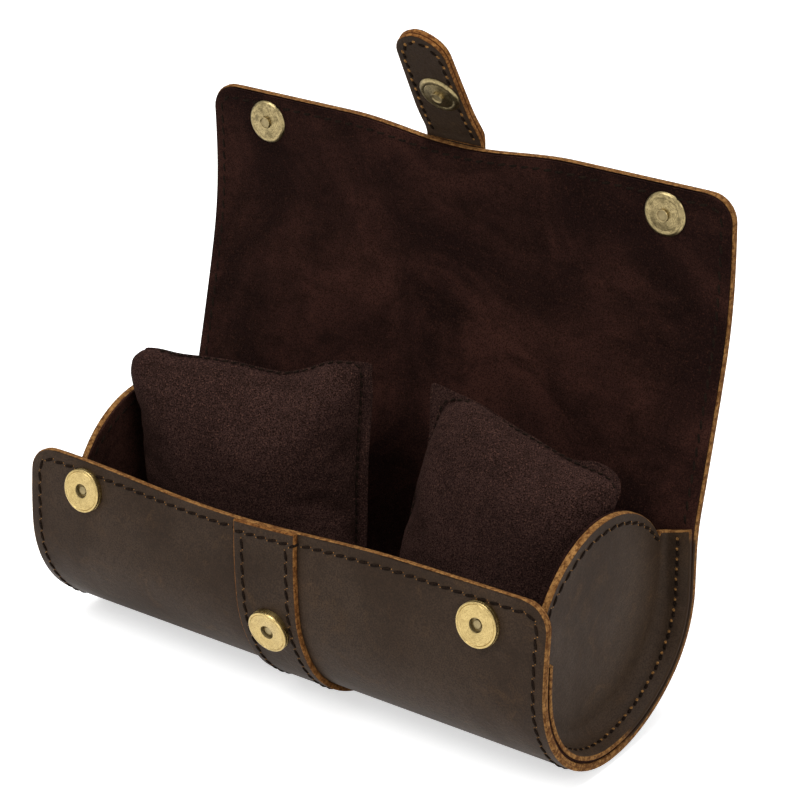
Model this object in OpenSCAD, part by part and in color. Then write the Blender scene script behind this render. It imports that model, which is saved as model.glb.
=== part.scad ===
// Roll-shaped travel case for two watches: a leather wrap with cup-shaped ends, a front flap with
// snap sockets, a lid that folds at the back and curls over, a closing tab and two loose pillows.
// X runs along the case, +Y to the back, +Z up. The origin is on the ground under the case axis.

/* [Case] */
// Length of the wrap and the lid, end to end
case_len = 210; // [200:1:220]
// Height of the case axis above the underside of the wrap
drop = 40.3; // [40:0.1:40.6]
// Front of the wrap, measured from the axis
front_y = -48.5; // [-49:0.1:-48]
// Back of the wrap, measured from the axis
back_y = 41.5; // [41:0.1:42]
// Radius of the inward lean of the front wall
wall_r = 170; // [160:1:180]
// Height of the front flap's edge above the axis
flap_top = 29.5; // [29:0.1:30]
// Height above the axis of the line where the front flap bends
flap_z = 10.4; // [10.2:0.1:10.6]
// Height above the axis of the line where the lid folds
fold_z = 21; // [20.8:0.1:21.2]
// Depth of the shallow dip in the middle of each free edge
edge_dip = 1.2; // [0.8:0.1:1.6]
// Radius of the corners of the flap and the lid
corner_r = 9; // [7:0.5:11]

/* [Leather] */
// Thickness of the outer leather
leather_t = 2.6; // [2.4:0.1:2.6]
// Thickness of the suede lining
lining_t = 0.9; // [0.8:0.1:0.9]
// Thickness of the strap leather
strap_t = 1.9; // [1.8:0.1:2]
// Thickness of the inner leather of the tab
tab_ply_t = 1.3; // [1.3:0.1:1.5]
// Width of the strap
strap_w = 25; // [22:1:28]

/* [Ends] */
// Radius of the free edge of an end cap
disc_r = 38.7; // [38:0.1:38.8]
// Depth of the recess in an end
recess = 9.6; // [8:0.2:11]
// Angle of the notch behind the free edge, from the back
cusp_turn = 30; // [28:1:31]

/* [Lid] */
// Number of strips that stand for the flexible lid
strip_count = 7; // [7:1:7]
// Length of the lid from its fold to its edge
lid_len = 112; // [111.5:0.1:112.5]

/* [Snaps] */
// Diameter of a snap disc
snap_d = 15.1; // [14:0.1:15.4]
// Distance of the side snaps from the ends of the case
snap_inset = 24.5; // [22:0.5:28]
// Height of the side sockets above the axis
socket_z = 18.4; // [18.2:0.1:18.6]
// Distance of the studs from the lid's fold, along the lid
stud_reach = 102; // [101.5:0.1:102.5]
// Height of a socket above its leather
socket_h = 2.2; // [1.8:0.1:2.4]
// Height of a stud's disc above its leather
stud_h = 1; // [0.8:0.1:1.2]

/* [Tab] */
// Length of the closing tab beyond the lid
tab_len = 50; // [44:1:56]
// Length of the tab's first bend
tab_base_len = 12; // [11:0.5:13]

/* [Pillows] */
// Width of a watch pillow
pillow_w = 74; // [70:1:76]
// Height of a watch pillow
pillow_h = 90; // [84:1:92]
// Thickness of a watch pillow in its middle
pillow_t = 34; // [28:1:38]
// Distance of the left pillow's middle from the end of the case
left_inset = 60; // [58:1:62]
// Distance of the right pillow's middle from the end of the case
right_inset = 56; // [54:1:58]

/* [Hidden] */
$fn = 64;

// Colours
leather_colour = [0.20, 0.14, 0.10];
lining_colour = [0.17, 0.09, 0.07];
pillow_colour = [0.16, 0.10, 0.09];
brass_colour = [0.72, 0.60, 0.33];
antique_colour = [0.60, 0.52, 0.34];
steel_colour = [0.6, 0.6, 0.6];

half_len = case_len / 2;
snap_x = half_len - snap_inset;
axis_h = drop + strap_t;
wall_t = leather_t + lining_t;
cut_gap = 0.3;
glue_gap = 0.05;
lining_setback = 1;

// Cross-section of the wrap, as rows of [point, turn]. The turn is the direction of the outward
// normal: -90 at the front, 0 at the bottom, 90 at the back. Points are [y, z] from the case axis.
toe_y = -7.5;
toe_r = toe_y - front_y;
wall_z0 = toe_r - drop;
heel_turn = 40;
heel_split = 15;
heel_r = 56;
sag_end = 15;
sag_r = 24;
wall_steps = 2;
toe_steps = 9;
base_steps = 4;
heel_steps = 5;
back_steps = 6;

function out_dir(turn) = [sin(turn), -cos(turn)];
function arc_rows(c, r, from, to, steps, first = 1) =
    [for (i = [first:steps]) let (turn = from + (to - from) * i / steps) [c + r * out_dir(turn), turn]];
function lift(rows, d) = [for (row = rows) row[0] + d * out_dir(row[1])];
function reversed(list) = [for (i = [len(list) - 1:-1:0]) list[i]];

function wall_turn(z) = -90 - asin((z - wall_z0) / wall_r);
wall_centre = [front_y + wall_r, wall_z0];
function wall_rows(z_from, z_to, steps) =
    arc_rows(wall_centre, wall_r, wall_turn(z_from), wall_turn(z_to), steps, 0);
toe_rows = arc_rows([toe_y, wall_z0], toe_r, -90, 0, toe_steps);

// The back quarter ends upright at back_y after two arcs that meet at heel_turn.
function second_r(start_y, r) = (back_y - start_y - r * sin(heel_turn)) / (1 - sin(heel_turn));
function heel_end(start_y, r) = [start_y, r - drop] + r * out_dir(heel_turn);
function second_rows(start_y, r) =
    let (r2 = second_r(start_y, r))
    arc_rows(heel_end(start_y, r) - r2 * out_dir(heel_turn), r2, heel_turn, 90, back_steps);
// Round at the two ends, where the end caps hold it
round_rows = concat(arc_rows([toe_y, heel_r - drop], heel_r, 0, heel_split, base_steps),
                    arc_rows([toe_y, heel_r - drop], heel_r, heel_split, heel_turn, heel_steps),
                    second_rows(toe_y, heel_r));
// Sagged flat in the middle, where the case rests
sag_rows = concat([for (i = [1:base_steps]) [[toe_y + (sag_end - toe_y) * i / base_steps, -drop], 0]],
                  arc_rows([sag_end, sag_r - drop], sag_r, 0, heel_turn, heel_steps),
                  second_rows(sag_end, sag_r));

// One line of the wrap at distance d outside its outer face, and at sag 0 (round) to 1 (flat)
function wrap_line(d, sag, z_front, z_back) =
    let (round_part = lift(round_rows, d), sag_part = lift(sag_rows, d))
    concat(lift(concat(wall_rows(z_front, wall_z0, wall_steps), toe_rows), d),
           [for (i = [0:len(round_part) - 1]) round_part[i] * (1 - sag) + sag_part[i] * sag],
           [[back_y + d, z_back]]);
function shell(d_out, d_in, sag, z_front, z_back) =
    concat(wrap_line(d_out, sag, z_front, z_back), reversed(wrap_line(d_in, sag, z_front, z_back)));
wrap_front_z = flap_z - cut_gap / 2;
wrap_back_z = fold_z - cut_gap / 2;

// The flat of the middle fades out towards the end caps.
sag_full_x = 25;
sag_none_x = 85;
function sag_at(x) =
    let (t = (abs(x) - sag_full_x) / (sag_none_x - sag_full_x))
    t <= 0 ? 1 : t >= 1 ? 0 : (1 + cos(180 * t)) / 2;
function stations(half) =
    let (inner = [for (i = [0:4]) sag_full_x + (sag_none_x - sag_full_x) * i / 4])
    concat([-half], [for (x = reversed(inner)) -x], inner, [half]);

// Skin that follows the wrap's changing section from end to end
module lofted_shell(d_out, d_in, half) {
    xs = stations(half);
    rings = [for (x = xs) shell(d_out, d_in, sag_at(x), wrap_front_z, wrap_back_z)];
    n = len(rings[0]);
    points = [for (i = [0:len(xs) - 1], p = rings[i]) [xs[i], p[0], axis_h + p[1]]];
    sides = [for (i = [0:len(xs) - 2], j = [0:n - 1])
             let (a = i * n + j, b = i * n + (j + 1) % n) [a, a + n, b + n, b]];
    last = (len(xs) - 1) * n;
    ends = [for (j = [0:n / 2 - 2]) [j, j + 1, n - 2 - j, n - 1 - j]];
    polyhedron(points, concat(ends, sides, [for (q = ends) [for (p = reversed(q)) last + p]]), convexity = 8);
}

// Extrudes a [y, z] outline, measured from the case axis, from one x to another.
module along_x(x_from, x_to) {
    translate([x_from, 0, axis_h]) rotate([90, 0, 90]) linear_extrude(x_to - x_from, convexity = 8) children();
}

// Places something on the wrap: z outwards along the normal, distance d off the outer face.
module on_wrap(x, row, d) {
    p = row[0] + d * out_dir(row[1]);
    translate([x, p[0], axis_h + p[1]]) rotate([180 + row[1], 0, 0]) children();
}
side_socket_row = wall_rows(socket_z, socket_z, 1)[0];
centre_socket_turn = -78;
centre_socket_row = [[toe_y, wall_z0] + toe_r * out_dir(centre_socket_turn), centre_socket_turn];

// Wrap

snap_sink = 0.6;
snap_edge = 0.4;
bore_d = 4.8;
pin_d = 2.9;
pin_drop = 0.9;
bore_depth = 2;
shank_d = 6;
shank_fit = 0.1;
washer_d = 10;
washer_t = 0.8;
magnet_d = 12.5;
magnet_bore = 7;
magnet_t = 1;
magnet_lid = 0.6;

// Space that a snap takes in its leather: the sunk disc, the shank and the washer behind
module snap_pocket(depth) {
    translate([0, 0, -snap_sink]) cylinder(h = snap_sink + 1, d = snap_d);
    translate([0, 0, -depth - 1]) cylinder(h = depth + 1, d = shank_d + 2 * shank_fit);
    translate([0, 0, -depth - 1]) cylinder(h = washer_t + 1, d = washer_d + 2 * shank_fit);
}

module wrap() {
    color(leather_colour) difference() {
        lofted_shell(0, -leather_t, half_len);
        on_wrap(0, centre_socket_row, strap_t) snap_pocket(strap_t + leather_t);
    }
}

module wrap_lining() {
    color(lining_colour) lofted_shell(-leather_t - glue_gap, -wall_t, half_len - lining_setback);
}

module strap() {
    color(leather_colour) difference() {
        along_x(-strap_w / 2, strap_w / 2) polygon(shell(strap_t, 0, 1, wrap_front_z, wrap_back_z));
        on_wrap(0, centre_socket_row, strap_t) snap_pocket(strap_t + leather_t);
    }
}

// End caps

cap_front_z = flap_z - cut_gap;
cap_back_z = fold_z - cut_gap;
cap_line = wrap_line(-wall_t, 0, cap_front_z, cap_back_z);
cap_inner_line = wrap_line(-wall_t - leather_t, 0, cap_front_z, cap_back_z);
cap_front_turn = 180 - asin(cap_front_z / disc_r);
disc_steps = 24;
free_edge = [for (i = [0:disc_steps])
             let (a = cusp_turn + (cap_front_turn - cusp_turn) * i / disc_steps) disc_r * [cos(a), sin(a)]];
cap_outer_x = half_len - recess;
cap_inner_x = cap_outer_x - leather_t;

module cap_plate(x_from, x_to) {
    along_x(x_from, x_to) polygon(concat(cap_line, free_edge));
}

module end_cap(side) {
    color(leather_colour) mirror([side < 0 ? 1 : 0, 0, 0]) union() {
        cap_plate(cap_inner_x, cap_outer_x);
        along_x(cap_outer_x, half_len) polygon(concat(cap_line, reversed(cap_inner_line)));
    }
}

module end_lining(side) {
    color(lining_colour) mirror([side < 0 ? 1 : 0, 0, 0]) cap_plate(cap_inner_x - lining_t, cap_inner_x);
}

// Snaps, drawn with z out of the leather and z = 0 on its surface

module disc_profile(r, z_from, z_to) {
    polygon([[0, z_from], [r, z_from], [r, z_to - snap_edge], [r - snap_edge, z_to], [0, z_to]]);
}

// Brass socket: a sunk casing with a bore, a pin in it, and a closed space for the ring magnet
module socket(depth) {
    difference() {
        union() {
            rotate_extrude() disc_profile(snap_d / 2, -snap_sink, socket_h);
            translate([0, 0, -depth]) cylinder(h = depth, d = shank_d);
        }
        translate([0, 0, socket_h - bore_depth]) difference() {
            cylinder(h = bore_depth + 1, d = bore_d);
            cylinder(h = bore_depth - pin_drop, d = pin_d);
        }
        translate([0, 0, socket_h - magnet_lid - magnet_t]) ring_magnet();
    }
}

module ring_magnet() {
    difference() {
        cylinder(h = magnet_t, d = magnet_d);
        translate([0, 0, -1]) cylinder(h = magnet_t + 2, d = magnet_bore);
    }
}

module washer(depth) {
    translate([0, 0, -depth]) difference() {
        cylinder(h = washer_t, d = washer_d);
        translate([0, 0, -1]) cylinder(h = washer_t + 2, d = shank_d);
    }
}

stud_sink = 0.4;
stud_bevel = 0.7;
stub_d = 4.3;
stub_bore = 3.4;
stub_h = 1.2;
stud_shank_d = 4;

// Antique brass stud: a bevelled disc with a short tube in the middle
module stud(depth) {
    difference() {
        union() {
            rotate_extrude() polygon([[0, -stud_sink], [snap_d / 2, -stud_sink], [snap_d / 2, stud_h - stud_bevel],
                                      [snap_d / 2 - stud_bevel, stud_h], [0, stud_h]]);
            cylinder(h = stud_h + stub_h, d = stub_d);
            translate([0, 0, -depth]) cylinder(h = depth, d = stud_shank_d);
        }
        translate([0, 0, stud_h]) cylinder(h = stub_h + 1, d = stub_bore);
    }
}

module stud_washer(depth) {
    translate([0, 0, -depth]) difference() {
        cylinder(h = washer_t, d = washer_d);
        translate([0, 0, -1]) cylinder(h = washer_t + 2, d = stud_shank_d);
    }
}

// The stud's disc is sunk in one leather or lining, and its washer sits at the given depth.
module stud_pocket(depth) {
    translate([0, 0, -stud_sink]) cylinder(h = stud_sink + 1, d = snap_d);
    translate([0, 0, -depth]) cylinder(h = depth + 1, d = stud_shank_d + 2 * shank_fit);
    translate([0, 0, -depth]) cylinder(h = washer_t, d = washer_d + 2 * shank_fit);
}

centre_depth = strap_t + leather_t;
module centre_socket() {
    color(brass_colour) on_wrap(0, centre_socket_row, strap_t) socket(centre_depth);
}
module centre_socket_magnet() {
    color(steel_colour) on_wrap(0, centre_socket_row, strap_t + socket_h - magnet_lid - magnet_t) ring_magnet();
}
module centre_socket_washer() {
    color(steel_colour) on_wrap(0, centre_socket_row, strap_t) washer(centre_depth);
}

// Front flap

module both_sides() {
    for (side = [-1, 1]) children_at(side) children();
}
module children_at(side) {
    translate([side * snap_x, 0, 0]) children();
}

// Outline with two rounded corners and a shallow dip, drawn in x and y with its free edge at y = top
dip_steps = 8;
corner_steps = 6;
module edge_outline(half, bottom, top) {
    reach = half - corner_r;
    dip = [for (i = [1 - dip_steps:dip_steps - 1])
           let (x = reach * i / dip_steps) [x, top - edge_dip * (1 + cos(180 * x / reach)) / 2]];
    corner = [for (i = [0:corner_steps])
              let (a = 90 * i / corner_steps) [reach, top - corner_r] + corner_r * [sin(a), cos(a)]];
    polygon(concat(dip, corner, [[half, bottom], [-half, bottom]],
                   [for (p = reversed(corner)) [-p[0], p[1]]]));
}

flap_steps = 4;
function flap_shell(d_out, d_in) =
    let (rows = wall_rows(flap_z + cut_gap / 2, flap_top, flap_steps))
    concat(lift(rows, d_out), reversed(lift(rows, d_in)));

module flap_layer(d_out, d_in, half) {
    intersection() {
        along_x(-half, half) polygon(flap_shell(d_out, d_in));
        translate([0, 0, axis_h]) rotate([90, 0, 0])
            linear_extrude(2 * case_len, center = true) edge_outline(half_len, 0, flap_top);
    }
}

module front_flap() {
    color(leather_colour) difference() {
        flap_layer(0, -leather_t, half_len);
        both_sides() on_wrap(0, side_socket_row, 0) snap_pocket(leather_t);
    }
}
module front_flap_lining() {
    color(lining_colour) flap_layer(-leather_t, -wall_t, half_len - lining_setback);
}
module front_flap_strap() {
    color(leather_colour) flap_layer(strap_t, 0, strap_w / 2);
}
module side_sockets() {
    color(brass_colour) both_sides() on_wrap(0, side_socket_row, 0) socket(leather_t);
}
module side_socket_magnets() {
    color(steel_colour) both_sides()
        on_wrap(0, side_socket_row, socket_h - magnet_lid - magnet_t) ring_magnet();
}
module side_socket_washers() {
    color(steel_colour) both_sides() on_wrap(0, side_socket_row, 0) washer(leather_t);
}

// Lid: strips hinged on the lining side. Each is drawn with z along the strip and y outwards.

rest_turns = [-14.5, 0.5, 0.5, 1.5, 6, 6, 3];
// The last strip starts just behind the studs and takes what is left of the lid.
stud_margin = 0.85;
strip_len = (stud_reach - snap_d / 2 - stud_margin) / (strip_count - 1);
last_len = lid_len - strip_len * (strip_count - 1);
function heading(k) = k == 0 ? 0 : heading(k - 1) + rest_turns[k - 1];
fold_point = [back_y - wall_t, fold_z];
function along(h) = [-sin(h), cos(h)];
function strip_start(k) = k == 1 ? fold_point : strip_start(k - 1) + strip_len * along(heading(k - 1));

module on_strip(k) {
    p = strip_start(k);
    translate([0, p[0], axis_h + p[1]]) rotate([heading(k), 0, 0]) children();
}

// The fold is a wedge of leather between the wrap and the first strip. The lid lays back below it
// and closes above it.
wedge_turn = 30;
first_slope = wedge_turn - heading(1);
function first_cut(y) = (cut_gap / 2 + y * sin(first_slope)) / cos(first_slope);
function wedge_top(y) = (y * sin(wedge_turn) - cut_gap / 2) / cos(wedge_turn);
module fold_piece(y_from, y_to, half) {
    along_x(-half, half) translate(fold_point)
        polygon([[y_from, cut_gap / 2], [y_to, cut_gap / 2], [y_to, wedge_top(y_to)], [y_from, wedge_top(y_from)]]);
}
module lid_fold() {
    color(leather_colour) fold_piece(lining_t, wall_t, half_len);
}
module lid_fold_strap() {
    color(leather_colour) fold_piece(wall_t, wall_t + strap_t, strap_w / 2);
}

module strip_layer(k, y_from, y_to, half) {
    last = k == strip_count;
    z_end = last ? last_len : strip_len - cut_gap / 2;
    on_strip(k) intersection() {
        rotate([90, 0, 90]) linear_extrude(2 * half, center = true)
            polygon([[y_from, k == 1 ? first_cut(y_from) : cut_gap / 2], [y_to, k == 1 ? first_cut(y_to) : cut_gap / 2],
                     [y_to, z_end], [y_from, z_end]]);
        if (last) rotate([90, 0, 0]) linear_extrude(case_len, center = true) edge_outline(half, 0, last_len);
    }
}

stud_z = stud_reach - strip_len * (strip_count - 1);
stud_cover = 0.8;
lid_stud_depth = wall_t - stud_cover;
// Places something on the lid's lining, z inwards.
module on_lid_inside(side) {
    on_strip(strip_count) translate([side * snap_x, 0, stud_z]) rotate([90, 0, 0]) children();
}

module lid_leather(k) {
    color(leather_colour) difference() {
        strip_layer(k, lining_t, wall_t, half_len);
        if (k == strip_count) for (side = [-1, 1]) on_lid_inside(side) stud_pocket(lid_stud_depth);
    }
}
module lid_lining(k) {
    color(lining_colour) difference() {
        strip_layer(k, 0, lining_t, half_len - lining_setback);
        if (k == strip_count) for (side = [-1, 1]) on_lid_inside(side) stud_pocket(lid_stud_depth);
    }
}
module lid_strap(k) {
    color(leather_colour) on_strip(k) strap_on_strip(k);
}
module strap_on_strip(k) {
    z_end = k == strip_count ? last_len - edge_dip : strip_len - cut_gap / 2;
    rotate([90, 0, 90]) linear_extrude(strap_w, center = true)
        polygon([[wall_t, k == 1 ? first_cut(wall_t) : cut_gap / 2],
                 [wall_t + strap_t, k == 1 ? first_cut(wall_t + strap_t) : cut_gap / 2],
                 [wall_t + strap_t, z_end], [wall_t, z_end]]);
}
module lid_stud(side) {
    color(antique_colour) on_lid_inside(side) stud(lid_stud_depth);
}
module lid_stud_washers() {
    color(steel_colour) for (side = [-1, 1]) on_lid_inside(side) stud_washer(lid_stud_depth);
}

// Closing tab: the end of the strap, backed with a second leather that starts at the lid's edge. Its
// base bends at the lid and carries the tip with the stud.

tab_base_turn = 36;
tab_tip_turn = -6;
tab_relief = 20;
tab_t = tab_ply_t + strap_t;
tab_stud_z = 10.5;

module on_tab_base() {
    on_strip(strip_count) translate([0, wall_t, last_len - edge_dip]) rotate([tab_base_turn, 0, 0]) children();
}
module on_tab_tip() {
    on_tab_base() translate([0, 0, tab_base_len]) rotate([tab_tip_turn, 0, 0]) children();
}
module on_tab_inside() {
    on_tab_tip() translate([0, 0, tab_stud_z]) rotate([90, 0, 0]) children();
}
module tab_base_layer(y_from, y_to) {
    on_tab_base() translate([-strap_w / 2, y_from, cut_gap])
        cube([strap_w, y_to - y_from, tab_base_len - cut_gap - cut_gap / 2]);
}
module tab_base_inner() { color(leather_colour) tab_base_layer(0, tab_ply_t); }
module tab_base_outer() { color(leather_colour) tab_base_layer(tab_ply_t, tab_t); }

// The tip starts with a bevel, so that it can also bend outwards, and ends in a half circle.
module tab_layer(y_from, y_to) {
    tip_len = tab_len - tab_base_len;
    function bevel(y) = cut_gap / 2 + y * tan(tab_relief);
    on_tab_tip() intersection() {
        rotate([90, 0, 90]) linear_extrude(strap_w, center = true)
            polygon([[y_from, bevel(y_from)], [y_to, bevel(y_to)], [y_to, tip_len], [y_from, tip_len]]);
        rotate([90, 0, 0]) linear_extrude(case_len, center = true) union() {
            translate([-strap_w / 2, 0]) square([strap_w, tip_len - strap_w / 2]);
            translate([0, tip_len - strap_w / 2]) circle(d = strap_w);
        }
    }
}
module tab_outer() { color(leather_colour) tab_layer(tab_ply_t, tab_t); }
module tab_inner() {
    color(leather_colour) difference() {
        tab_layer(0, tab_ply_t);
        on_tab_inside() stud_pocket(tab_ply_t);
    }
}
module tab_stud() { color(antique_colour) on_tab_inside() stud(tab_ply_t); }
module tab_stud_washer() { color(steel_colour) on_tab_inside() stud_washer(tab_ply_t); }

// Pillows: each stands in the case on its lower edge, turned and leaning a little.

pillow_corner_r = 8;
cover_t = 1;
pillow_fn = 20;
edge_flatness = 0.5;
belly_d = 0.78 * pillow_h;
belly_stretch = 1.25;
// Middle of the lower edge from the case axis, turn about the vertical and lean towards the back
left_y = -3;
left_z = -36;
left_turn = 18;
left_lean = -6;
right_y = -6;
right_z = -35.5;
right_turn = -12;
right_lean = -14;
left_place = [[left_inset - half_len, left_y, left_z], left_turn, left_lean];
right_place = [[half_len - right_inset, right_y, right_z], right_turn, right_lean];

module pillow_form(inset) {
    hull() {
        for (x = [-1, 1], z = [-1, 1])
            translate([x * (pillow_w / 2 - pillow_corner_r), 0, z * (pillow_h / 2 - pillow_corner_r)])
                scale([1, edge_flatness, 1]) sphere(r = pillow_corner_r - inset, $fn = pillow_fn);
        scale([1, pillow_t / pillow_h, belly_stretch]) sphere(d = belly_d - 2 * inset, $fn = 2 * pillow_fn);
    }
}
module at_place(place) {
    translate(place[0] + [0, 0, axis_h]) rotate([0, 0, place[1]]) rotate([place[2], 0, 0])
        translate([0, 0, pillow_h / 2]) children();
}
module pillow_cover(place) {
    color(pillow_colour) at_place(place) difference() {
        pillow_form(0);
        pillow_form(cover_t);
    }
}
module pillow_filling(place) {
    color("ivory") at_place(place) pillow_form(cover_t);
}

wrap();
wrap_lining();
strap();
end_cap(-1);  // end_cap_left
end_cap(1);  // end_cap_right
end_lining(-1);  // end_lining_left
end_lining(1);  // end_lining_right
centre_socket();
centre_socket_magnet();
centre_socket_washer();
front_flap();
front_flap_lining();
front_flap_strap();
side_sockets();
side_socket_magnets();
side_socket_washers();
lid_fold();
lid_fold_strap();
for (k = [1:strip_count]) lid_leather(k);
for (k = [1:strip_count]) lid_lining(k);
for (k = [1:strip_count]) lid_strap(k);
lid_stud(-1);  // lid_stud_left
lid_stud(1);  // lid_stud_right
lid_stud_washers();
tab_base_outer();
tab_base_inner();
tab_outer();
tab_inner();
tab_stud();
tab_stud_washer();
pillow_cover(left_place);  // pillow_cover_left
pillow_cover(right_place);  // pillow_cover_right
pillow_filling(left_place);  // pillow_filling_left
pillow_filling(right_place);  // pillow_filling_right
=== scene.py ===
import math
import random
import bmesh
import bpy
import numpy as np
from mathutils import Matrix, Vector, noise


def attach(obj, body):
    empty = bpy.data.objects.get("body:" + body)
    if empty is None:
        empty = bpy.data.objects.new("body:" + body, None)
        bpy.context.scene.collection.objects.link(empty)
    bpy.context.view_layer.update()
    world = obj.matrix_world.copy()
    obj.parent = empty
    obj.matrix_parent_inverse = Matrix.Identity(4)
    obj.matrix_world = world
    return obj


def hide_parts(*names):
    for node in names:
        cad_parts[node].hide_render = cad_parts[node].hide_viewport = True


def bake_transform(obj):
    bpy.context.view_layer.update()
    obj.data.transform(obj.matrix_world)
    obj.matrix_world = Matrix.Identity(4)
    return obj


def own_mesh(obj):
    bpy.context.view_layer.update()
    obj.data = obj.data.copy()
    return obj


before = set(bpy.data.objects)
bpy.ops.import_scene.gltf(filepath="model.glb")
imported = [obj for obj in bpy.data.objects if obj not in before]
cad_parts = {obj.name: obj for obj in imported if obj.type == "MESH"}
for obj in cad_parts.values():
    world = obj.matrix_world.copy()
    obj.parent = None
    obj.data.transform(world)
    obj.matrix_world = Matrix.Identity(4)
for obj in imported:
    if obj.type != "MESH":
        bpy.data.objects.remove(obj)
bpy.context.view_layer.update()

random.seed(7)
mm = 0.001

# the case's section, in mm from its axis: y to the back, z up
section = {
    "axisHeight": 42.2, "halfLength": 105, "toeY": -7.5, "drop": 40.3, "toeRadius": 41, "wallRadius": 170,
    "flapTop": 29.5, "heelRadius": 56, "heelTurn": 40, "sagEnd": 15, "sagRadius": 24, "backY": 41.5,
    "sagFull": 25, "sagNone": 85, "foldZ": 21, "wall": 3.5, "leather": 2.6, "strapThickness": 1.9,
    "stripLength": 15.6, "lidLength": 112, "lidTip": 9.2, "headings": (-14.5, -14, -13.5, -12, -6, 0, 3),
    "flapBend": (16.4, 4.4),
}
wallZ = section["toeRadius"] - section["drop"]
wallCentre = (section["toeY"] - section["toeRadius"] + section["wallRadius"], wallZ)


def arcRows(centre, radius, fromTurn, toTurn, count):  # y, z and the turn of the leather, 0 at the bottom
    turns = np.radians(np.linspace(fromTurn, toTurn, count + 1)[1:])
    return np.stack([centre[0] + radius * np.sin(turns), centre[1] - radius * np.cos(turns), turns], 1)


def wallTurn(z):  # how far the leaning front wall has turned at a height
    return -90 - math.degrees(math.asin((z - wallZ) / section["wallRadius"]))


def backRows(startY, radius):  # the second arc, from the heel to the upright back
    heel = math.radians(section["heelTurn"])
    centreZ = radius - section["drop"]
    second = (section["backY"] - startY - radius * math.sin(heel)) / (1 - math.sin(heel))
    corner = (startY + (radius - second) * math.sin(heel), centreZ - (radius - second) * math.cos(heel))
    return arcRows(corner, second, section["heelTurn"], 90, 28)


def bottomRows(sagged):  # in the middle the bottom sags flat, at the ends the caps keep it round
    toe, drop, sag = section["toeY"], section["drop"], section["sagRadius"]
    if not sagged:
        radius = section["heelRadius"]
        heel = arcRows((toe, radius - drop), radius, 0, section["heelTurn"], 24)
        return np.concatenate([heel, backRows(toe, radius)])
    flat = np.array([(toe + (section["sagEnd"] - toe) * i / 10, -drop, 0) for i in range(1, 11)])
    heel = arcRows((section["sagEnd"], sag - drop), sag, 0, section["heelTurn"], 14)
    return np.concatenate([flat, heel, backRows(section["sagEnd"], sag)])


def followBend(y, z, along, end, step, marks, turns, outwards=0.0):  # rows of y, z, turn and the way along
    rows = []
    while along < end:
        heading = math.radians(np.interp(along, marks, turns))
        rows.append((y + outwards * math.cos(heading), z + outwards * math.sin(heading),
                     heading + math.pi / 2, along))
        middle = math.radians(np.interp(along + step / 2, marks, turns))
        y, z, along = y - step * math.sin(middle), z + step * math.cos(middle), along + step
    return np.array(rows)


def lidRows():  # the lid and the fold as one smooth bend, followed along the lining
    step, half = 1.3, section["stripLength"] / 2
    marks = [-half] + [half + section["stripLength"] * k for k in range(6)]
    marks.append(section["lidLength"] - section["lidTip"])
    rows = followBend(section["backY"] - section["wall"], section["foldZ"] - half, -half,
                      section["lidLength"] + 1, step, marks, [0] + list(section["headings"]), section["wall"])
    return rows[:, :3], np.arange(len(rows)) * step


front = np.concatenate([arcRows(wallCentre, section["wallRadius"], wallTurn(34), -90, 20),
                        arcRows((section["toeY"], wallZ), section["toeRadius"], -90, 0, 40)])
lidPath, lidAlong = lidRows()
sheetPath = {}
for kind, sagged in (("round", False), ("sag", True)):
    sheetPath[kind] = np.concatenate([front, bottomRows(sagged), lidPath])
steps = np.linalg.norm(np.diff(sheetPath["round"][:, :2], axis=0), axis=1)
along = np.concatenate([[0], np.cumsum(steps)])
foldStart = along[-len(lidPath)]
along[-len(lidPath):] = foldStart + lidAlong  # the lid is measured along its lining
wallRows = front[:20]
flapEdgeAlong = float(np.interp(-section["flapTop"], -wallRows[:, 1], along[:20]))
sheetPath["along"] = along - flapEdgeAlong  # 0 is the flap's edge
foldStart -= flapEdgeAlong
foldAlong = foldStart + section["stripLength"] / 2
lidEnd = foldAlong + section["lidLength"]


def alongAtZ(z):  # on the front wall
    return float(np.interp(-z, -wallRows[:, 1], sheetPath["along"][:20]))


def hollow(t):  # falls smoothly from 1 to 0
    return (1 + np.cos(np.pi * np.clip(t, 0, 1))) / 2


def sagAt(x):  # 1 where the case sags fully, 0 at its ends
    return hollow((np.abs(x) - section["sagFull"]) / (section["sagNone"] - section["sagFull"]))


def onPath(path, x, u, d):  # flat pattern (across, along, out of the leather) to the curled case
    placed = []
    for kind in ("round", "sag"):
        y, z, turn = (np.interp(u, path["along"], path[kind][:, c]) for c in range(3))
        placed.append(np.stack([y + d * np.sin(turn), z - d * np.cos(turn)], -1))
    sag = sagAt(x)[..., None]
    yz = placed[0] * (1 - sag) + placed[1] * sag
    return np.stack([x, yz[..., 0], yz[..., 1] + section["axisHeight"]], -1)


# the tab goes on from the strap past the lid's edge
tab = {"start": lidEnd - 1.2, "bend": 2.5, "turn": 39, "tipTurn": 33, "baseLength": 12, "length": 50,
       "ply": 1.3, "studAlong": 22.5, "halfWidth": 12.5, "kink": 5, "columns": 10}
tab["taper"] = [(tab["start"] - 20, 0), (tab["start"], 1.3), (tab["start"] + tab["length"], 2.8)]
tab["skew"] = [(0, -3.0), (22, -1.6), (45, 0), (foldAlong, 0), (lidEnd, -3.5), (lidEnd + tab["length"], 0.4)]


def tabRows():
    marks = [-tab["bend"], tab["bend"], tab["baseLength"] - tab["kink"], tab["baseLength"] + tab["kink"]]
    turns = [section["headings"][-1], tab["turn"], tab["turn"], tab["tipTurn"]]
    start = onPath(sheetPath, np.array(0.0), np.array(tab["start"] - tab["bend"]), np.array(0.0))
    return followBend(start[1], start[2] - section["axisHeight"], -tab["bend"], tab["length"] + 2, 0.5,
                      marks, turns)


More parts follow.
